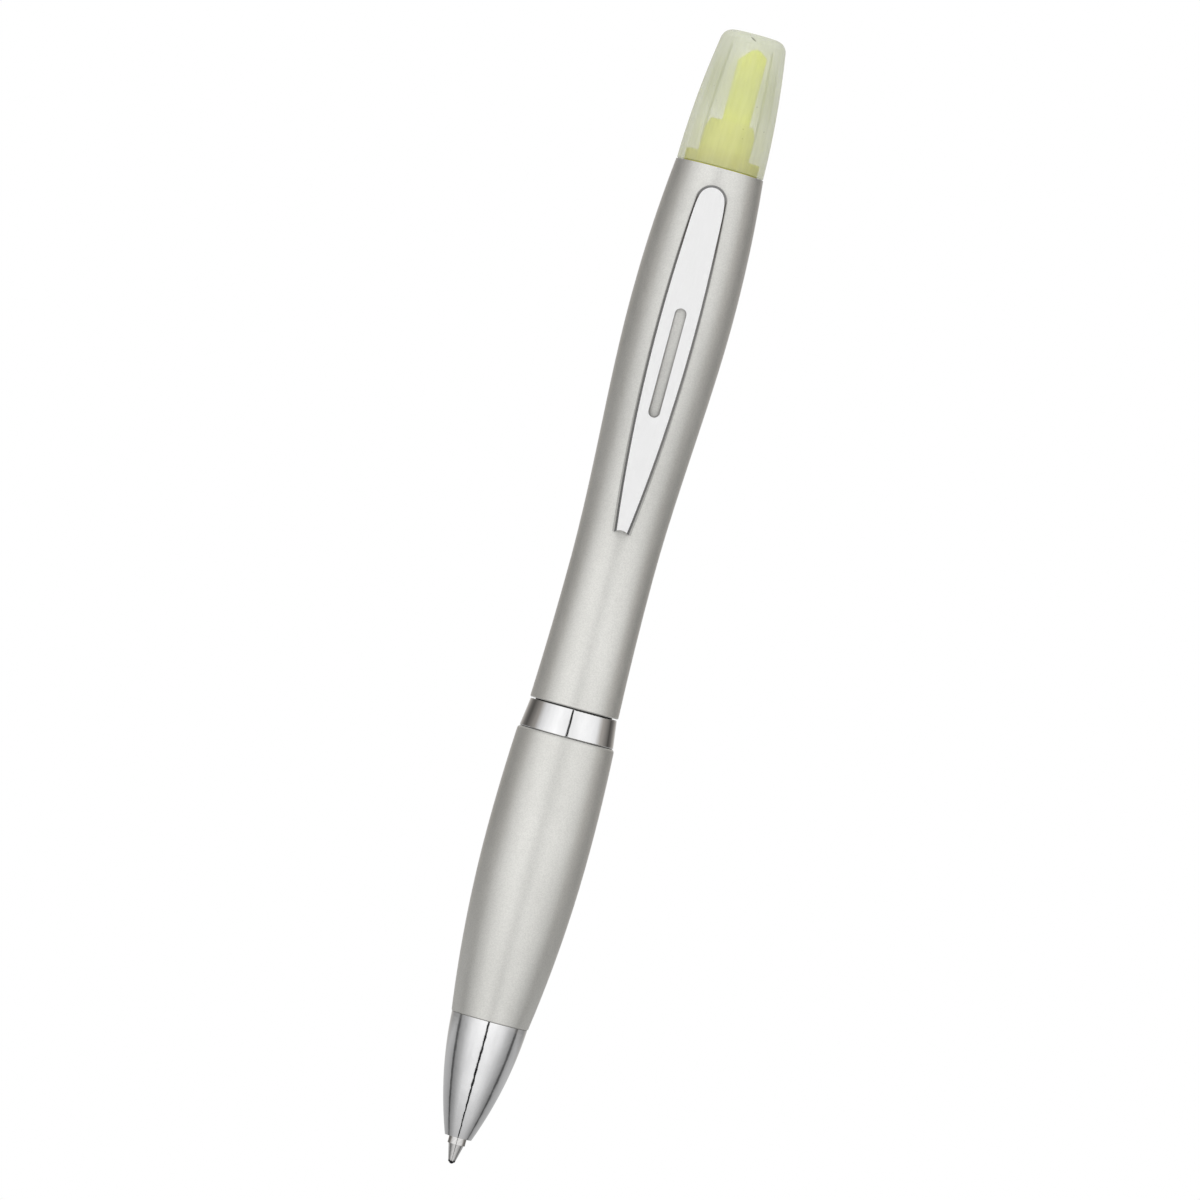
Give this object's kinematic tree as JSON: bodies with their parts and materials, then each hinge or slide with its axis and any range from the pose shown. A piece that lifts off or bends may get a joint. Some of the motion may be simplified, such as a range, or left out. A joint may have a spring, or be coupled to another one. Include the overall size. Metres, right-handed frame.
{
  "type": "twist ballpoint pen with highlighter",
  "caption": "Slim twist-action ballpoint pen with a pocket clip and, at its other end, a chisel highlighter nib under a frosted pull-off cap.",
  "frame": {"origin": "the writing point: the lowest point of the writing ball, on the pen's axis, point out", "axes": "+Z along the pen's axis from the writing point to the cap, -Y out through the pocket clip"},
  "size_m": [0.0132, 0.0142, 0.146],
  "materials": {
    "silver_paint": "satin silver paint on moulded plastic",
    "chrome": "polished chrome plate",
    "clip_steel": "polished edges, fine brushed face",
    "frosted_cap": "milky translucent",
    "holder_plastic": "translucent yellow-green moulding",
    "nib_felt": "porous felt soaked with yellow ink",
    "reservoir_fibre": "bundled fibre soaked with yellow ink",
    "film": "thin clear film",
    "cup_plastic": "natural white moulding",
    "guide_plastic": "black acetal",
    "cam_plastic": "white acetal",
    "rubber": "matt black rubber",
    "spring_steel": "bright spring steel",
    "carrier_plastic": "grey acetal",
    "refill_plastic": "clear polypropylene",
    "point_metal": "turned nickel silver",
    "ball_carbide": "polished carbide",
    "ink": "black ballpoint ink",
    "grease": "clear grease"
  },
  "bodies": {
    "barrel": {"upper_barrel": "silver_paint", "cam_sleeve": "cam_plastic", "nib_holder": "holder_plastic", "highlighter_nib": "nib_felt", "ink_reservoir": "reservoir_fibre", "reservoir_sleeve": "film", "reservoir_cup": "cup_plastic"},
    "lower_section": {"grip_section": "silver_paint", "nose_cone": "chrome", "center_ring": "chrome", "guide_tube": "guide_plastic", "friction_o_ring": "rubber", "retaining_ring": "spring_steel", "return_spring": "spring_steel"},
    "refill": {"refill_carrier": "carrier_plastic", "cam_pin": "spring_steel", "refill_tube": "refill_plastic", "refill_ink": "ink", "follower_grease": "grease", "end_plug": "refill_plastic", "point_holder": "point_metal", "writing_point": "point_metal", "writing_ball": "ball_carbide"},
    "cap": {"highlighter_cap": "frosted_cap"},
    "clip": {"clip": "clip_steel"}
  },
  "joints": [
    {"name": "twist", "type": "hinge", "parent": "barrel", "child": "lower_section", "pos_m": [0, 0, 0.0589], "axis": [0, 0, 1], "range_deg": [0, 150]},
    {"name": "refill_slide", "type": "slide", "parent": "lower_section", "child": "refill", "axis": [0, 0, 1], "range_m": [0, 0.00461], "deforming": ["return_spring"]},
    {"name": "cap_pull", "type": "slide", "parent": "barrel", "child": "cap", "axis": [0, 0, 1], "range_m": [0, 0.03]},
    {"name": "clip_flex", "type": "hinge", "parent": "barrel", "child": "clip", "pos_m": [0, -0.0052, 0.12485], "axis": [-1, 0, 0], "range_deg": [0, 4], "stiffness_Nm_per_rad": 1}
  ],
  "couplings": [
    {"joint": "refill_slide", "follows": "twist", "m_per_rad": 0.0017571}
  ]
}
